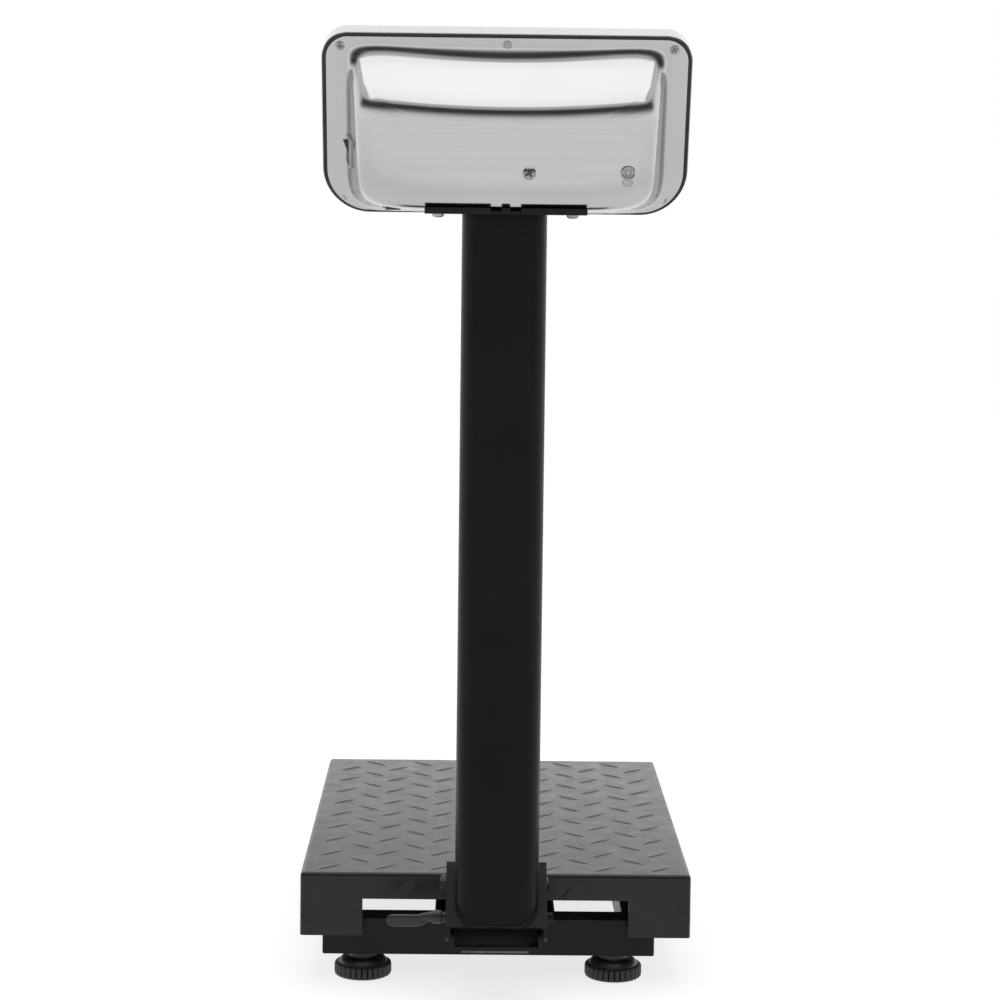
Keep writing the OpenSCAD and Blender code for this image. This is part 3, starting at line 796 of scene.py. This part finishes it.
def build_digits():
    """Plain seven-segment figures on the display: four zeros and a point."""
    bm = bmesh.new()
    d = -19.05
    h, w, t, slant = 26.0, 14.0, 2.6, 0.12

    def seg(pts):
        bm.faces.new([bm.verts.new(head_point(-x, d, v)) for x, v in pts])

    def shape(cx, lit):
        base = 83.0

        def at(x, v):
            return (cx + x + (v - h / 2) * slant, base + v)

        def bar(v):
            return [at(-w / 2 + 1.2, v), at(-w / 2 + 2.6, v + t / 2), at(w / 2 - 2.6, v + t / 2),
                    at(w / 2 - 1.2, v), at(w / 2 - 2.6, v - t / 2), at(-w / 2 + 2.6, v - t / 2)]

        def post(x, v):
            half = h / 4 - 0.5
            return [at(x, v - half), at(x + t / 2, v - half + 1.3), at(x + t / 2, v + half - 1.3),
                    at(x, v + half), at(x - t / 2, v + half - 1.3), at(x - t / 2, v - half + 1.3)]

        parts = {"a": bar(h), "g": bar(h / 2), "d": bar(0), "f": post(-w / 2, h * 0.75),
                 "b": post(w / 2, h * 0.75), "e": post(-w / 2, h * 0.25), "c": post(w / 2, h * 0.25)}
        for key in lit:
            seg(parts[key])

    for cx in (-36, -12, 12, 36):
        shape(cx, "abcdef")
    seg([(-1.4 + 24, 81.5), (1.4 + 24, 81.5), (1.4 + 24, 84.3), (-1.4 + 24, 84.3)])
    finish_piece(bm, "lcd_figures", "ink", "column")


build_digits()


# ---------------------------------------------------------------- screws
def screw_head(name, matrix, r, height, key, body, stands_for=(), cross=True, dome=0.5):
    """A pan head with a cross recess: local Z out of the surface, origin on it."""
    bm = bmesh.new()
    steps, rows = 48, 14
    rings = [[(r, a, z) for a in range(steps)] for z in (-0.3, height * (1 - dome))]
    for k in range(1, rows + 1):
        t = k / rows
        rr = r * math.cos(t * math.pi / 2) if k < rows else r * 0.03
        z = height * (1 - dome) + height * dome * math.sin(t * math.pi / 2)
        rings.append([(rr, a, z) for a in range(steps)])
    made = []
    arm, slot_half = r * 0.62, r * 0.13
    for ring in rings:
        row = []
        for rr, a, z in ring:
            x, y = rr * math.cos(2 * math.pi * a / steps), rr * math.sin(2 * math.pi * a / steps)
            if cross:
                inside = max(min(slot_half - abs(x), arm - abs(y)),
                             min(slot_half - abs(y), arm - abs(x)))
                if inside > -0.02 * r:
                    z -= min(height * 0.75, height * 0.5 + inside * 1.2)
            row.append(matrix @ Vector((x, y, z)))
        made.append(add_loop(bm, row))
    for a, b in zip(made, made[1:]):
        bridge(bm, a, b)
    bm.faces.new(made[-1])
    return finish_piece(bm, name, key, body, stands_for, 30)


def head_frame_mm(x, d, v):
    """Head frame in mm with local Z pointing rearwards out of the flange."""
    return (Matrix.Translation(head_point(x, d, v)) @ Matrix.Rotation(-HEAD_TILT, 4, "X")
            @ Matrix.Rotation(-math.pi / 2, 4, "X"))


FLANGE_SCREWS = [(-118.4, 125.6), (118.4, 125.6), (0, 127.4), (-114.6, 13.3), (114.6, 13.3)]
for i, (x, v) in enumerate(FLANGE_SCREWS):
    stands = ["rear_cover_screws"] if i == 0 else ()
    turn = Matrix.Rotation(0.4 + 1.1 * i, 4, "Z")
    screw_head(f"flange_screw_{i + 1}", head_frame_mm(x, 1.1, v) @ turn, 3.3, 1.3, "screw", "column",
               stands, dome=0.6)

out_rear = Matrix.Rotation(-math.pi / 2, 4, "X")
screw_head("panel_screw", Matrix.Translation(CLAMP_SCREW) @ out_rear @ Matrix.Rotation(0.5, 4, "Z"),
           4.65, 2.5, "screw", "column", ["clamp_screw"], dome=0.8)


def build_seal():
    """A cup with a drilled head in it, and a half-moon tab below."""
    at = Matrix.Translation(SEAL_SCREW) @ out_rear
    bm = bmesh.new()
    cup = [(5.0, -0.2), (5.0, 2.0), (4.8, 2.45), (4.3, 2.6), (3.8, 2.4), (3.6, 1.9), (3.5, 0.9)]
    drilled_head = [(2.4, 0.8), (2.2, 1.9), (1.9, 2.2), (0.9, 2.2), (0.8, 1.2), (0.3, 1.1)]
    lathe(bm, cup + drilled_head, at, 48)
    tab = [(3.6 * math.cos(a), 6.5 + 3.4 * math.sin(a)) for a in np.linspace(-0.4, math.pi + 0.4, 24)]
    loft(bm, [[at @ Vector((x, y, z)) for x, y in tab] for z in (-0.2, 1.2)], cap_last=True)
    finish_piece(bm, "seal_cup", "screw", "column", ["seal_screw"], 35)


build_seal()

up = Matrix.Rotation(math.pi, 4, "X")
for i, s in enumerate((1, -1)):
    screw_head(f"bracket_screw_{i + 1}", Matrix.Translation((s * 48, REAR_Y + 90, 587)) @ up, 4.2, 2.8,
               "screw", "column", ["bracket_screws"] if i == 0 else (), dome=0.7)


# ---------------------------------------------------------------- lock
def along_x(x):
    """The lock axis as a matrix: local Z along X, starting at x."""
    return Matrix.Translation((x, LOCK.y, LOCK.z)) @ Matrix.Rotation(math.pi / 2, 4, "Y")


def build_lock():
    """The threaded lock stud and its lever with a flat paddle."""
    lo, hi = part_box("lock_stud")
    x0, start = lo.x / MM, hi.x / MM
    profile = [(3.2, 0.0)]
    z = 0.5
    while z < 8:
        profile += [(4.0, z), (3.55, z + 0.6)]
        z += 1.25
    profile += [(4.0, 9.0), (4.0, start - x0)]
    bm = bmesh.new()
    lathe(bm, profile, along_x(x0), 40)
    finish_piece(bm, "lock_stud_threaded", "dark_bolt", "lock", ["lock_stud"], 30)
    bm = bmesh.new()
    neck = [(4.2, 0.0), (5.0, 0.5), (5.0, 6.0), (4.7, 6.6), (4.3, 6.8), (3.4, 9.5), (2.8, 13.5), (2.4, 16.0)]
    lathe(bm, neck, along_x(start), 40)
    # the flat paddle swells out of the neck and ends round: place, half height, half thickness, drop
    sections = [(9.0, 2.2, 2.2, 0.4), (12.0, 3.2, 2.3, 1.6), (15.0, 4.1, 2.3, 2.6), (19.0, 4.5, 2.3, 3.0),
                (30.0, 4.5, 2.3, 3.0), (36.0, 4.45, 2.3, 3.0), (38.5, 4.0, 2.2, 3.0), (40.0, 3.1, 2.0, 3.0),
                (40.8, 1.9, 1.5, 3.0), (41.0, 0.6, 0.6, 3.0)]
    rings = []
    for x, half_h, half_t, drop in sections:
        ring = []
        for k in range(24):
            a = 2 * math.pi * k / 24
            c, s = math.cos(a), math.sin(a)
            ring.append(Vector((start + x, LOCK.y + half_t * abs(c) ** 0.5 * (1 if c > 0 else -1),
                                LOCK.z - drop + half_h * abs(s) ** 0.5 * (1 if s > 0 else -1))))
        rings.append(ring)
    loft(bm, rings, cap_first=True, cap_last=True)
    finish_piece(bm, "lock_lever_paddle", "foot", "lock", ["lock_lever"], 40)


build_lock()

# ---------------------------------------------------------------- floor, light, camera
bm = bmesh.new()
bmesh.ops.create_grid(bm, x_segments=2, y_segments=2, size=20.0)
floor_data = bpy.data.meshes.new("floor")
bm.to_mesh(floor_data)
bm.free()
floor = bpy.data.objects.new("floor", floor_data)
bpy.context.scene.collection.objects.link(floor)
pale = Nodes("pale_floor")
pale_colour = pale.colours(pale.noise(2, 2), [(0.3, (0.27, 0.27, 0.27)), (0.7, (0.28, 0.28, 0.28))])
pale.set(Base_Color=pale_colour, Roughness=0.8, Specular_IOR_Level=0.0, Emission_Color=(1, 1, 1, 1),
         Emission_Strength=0.78)
floor_data.materials.append(pale.mat)

world = bpy.data.worlds.new("studio")
bpy.context.scene.world = world
world.use_nodes = True
wt = world.node_tree
wt.nodes.clear()


def wn(kind, **p):
    """A node of the world tree."""
    n = wt.nodes.new(kind)
    for k, v in p.items():
        setattr(n, k, v)
    return n


co = wn("ShaderNodeTexCoord").outputs["Generated"]
sep = wn("ShaderNodeSeparateXYZ")
wt.links.new(co, sep.inputs[0])
band = wn("ShaderNodeValToRGB")
els = band.color_ramp.elements
# brightness of the studio from straight down (0) over the horizon (0.5) to straight up (1)
STOPS = [(0.0, 0.6), (0.42, 0.9), (0.50, 1.3), (0.55, 1.25), (0.61, 0.35), (0.67, 0.05), (0.81, 0.05),
         (0.87, 0.9), (0.93, 0.42), (1.0, 0.3)]
while len(els) < len(STOPS):
    els.new(0.5)
for e, (at, v) in zip(els, STOPS):
    e.position = at
    e.color = (v, v, v, 1)
shift = wn("ShaderNodeMath", operation="MULTIPLY_ADD")
shift.inputs[1].default_value = 0.5
shift.inputs[2].default_value = 0.5
wt.links.new(sep.outputs["Z"], shift.inputs[0])
wt.links.new(shift.outputs[0], band.inputs["Fac"])
side = wn("ShaderNodeMapRange")
side.inputs["From Min"].default_value = -0.25
side.inputs["From Max"].default_value = 0.25
wt.links.new(sep.outputs["Y"], side.inputs["Value"])
mix = wn("ShaderNodeMix", data_type="RGBA")
wt.links.new(side.outputs["Result"], mix.inputs["Factor"])
mix.inputs["A"].default_value = (1.3, 1.3, 1.3, 1)
wt.links.new(band.outputs["Color"], mix.inputs["B"])
lit = wn("ShaderNodeBackground")
wt.links.new(mix.outputs["Result"], lit.inputs["Color"])
plain = wn("ShaderNodeBackground")
plain.inputs["Color"].default_value = (1, 1, 1, 1)
path = wn("ShaderNodeLightPath")
choose = wn("ShaderNodeMixShader")
wt.links.new(path.outputs["Is Camera Ray"], choose.inputs["Fac"])
wt.links.new(lit.outputs[0], choose.inputs[1])
wt.links.new(plain.outputs[0], choose.inputs[2])
wt.links.new(choose.outputs[0], wn("ShaderNodeOutputWorld").inputs["Surface"])


def area_light(name, place, target, size, power):
    """A rectangular softbox aimed at a point."""
    data = bpy.data.lights.new(name, "AREA")
    data.shape = "RECTANGLE"
    data.size, data.size_y = size
    data.energy = power
    obj = bpy.data.objects.new(name, data)
    bpy.context.scene.collection.objects.link(obj)
    obj.location = place
    obj.rotation_euler = (Vector(target) - Vector(place)).to_track_quat("-Z", "Y").to_euler()
    return obj


area_light("top_softbox", (0.0, 0.2, 2.6), (0, 0, 0.3), (2.4, 2.4), 26)

cam_data = bpy.data.cameras.new("camera")
cam = bpy.data.objects.new("camera", cam_data)
bpy.context.scene.collection.objects.link(cam)
CAM_AT = Vector((0.0228, 1.995, 0.5855))
PITCH, YAW, ROLL = math.radians(3.771), math.radians(0.66), math.radians(0.682)
forward = Vector((-math.sin(YAW) * math.cos(PITCH), -math.cos(YAW) * math.cos(PITCH), -math.sin(PITCH)))
right = Vector((-math.cos(YAW), math.sin(YAW), 0))
upward = right.cross(forward)
r2 = right * math.cos(ROLL) + upward * math.sin(ROLL)
u2 = upward * math.cos(ROLL) - right * math.sin(ROLL)
cam.matrix_world = Matrix(((r2.x, u2.x, -forward.x, CAM_AT.x), (r2.y, u2.y, -forward.y, CAM_AT.y),
                           (r2.z, u2.z, -forward.z, CAM_AT.z), (0, 0, 0, 1)))
cam_data.sensor_width = 36
cam_data.lens = 89.2
cam_data.shift_y = -0.12
cam_data.clip_start, cam_data.clip_end = 0.05, 50
bpy.context.scene.camera = cam
bpy.context.scene.view_settings.view_transform = "Standard"
